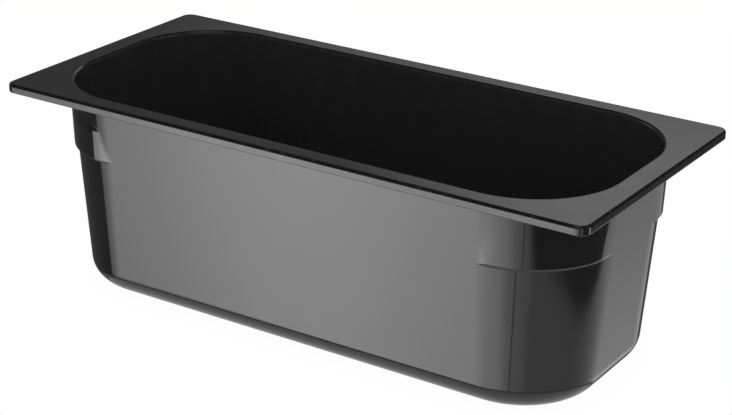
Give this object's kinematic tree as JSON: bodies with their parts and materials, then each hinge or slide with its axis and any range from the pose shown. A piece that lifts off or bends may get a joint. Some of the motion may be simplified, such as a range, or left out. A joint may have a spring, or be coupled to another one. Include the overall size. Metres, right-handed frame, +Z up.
{
  "type": "deli display pan",
  "caption": "Deep black plastic display pan: a drafted tub with rounded corners, a flat rim with a turned-down lip, and a moulded shoulder at each corner.",
  "frame": {"origin": "On the surface the pan stands on, under the middle of the pan (bottom centre of its box).", "axes": "+X along the pan's length, +Y across its width, +Z up out of its mouth."},
  "size_m": [0.36, 0.165, 0.12],
  "materials": {
    "black_plastic": "moulded black polycarbonate, semi-gloss, with fine handling marks"
  },
  "bodies": {
    "root": {"pan_body": "black_plastic"}
  },
  "joints": []
}
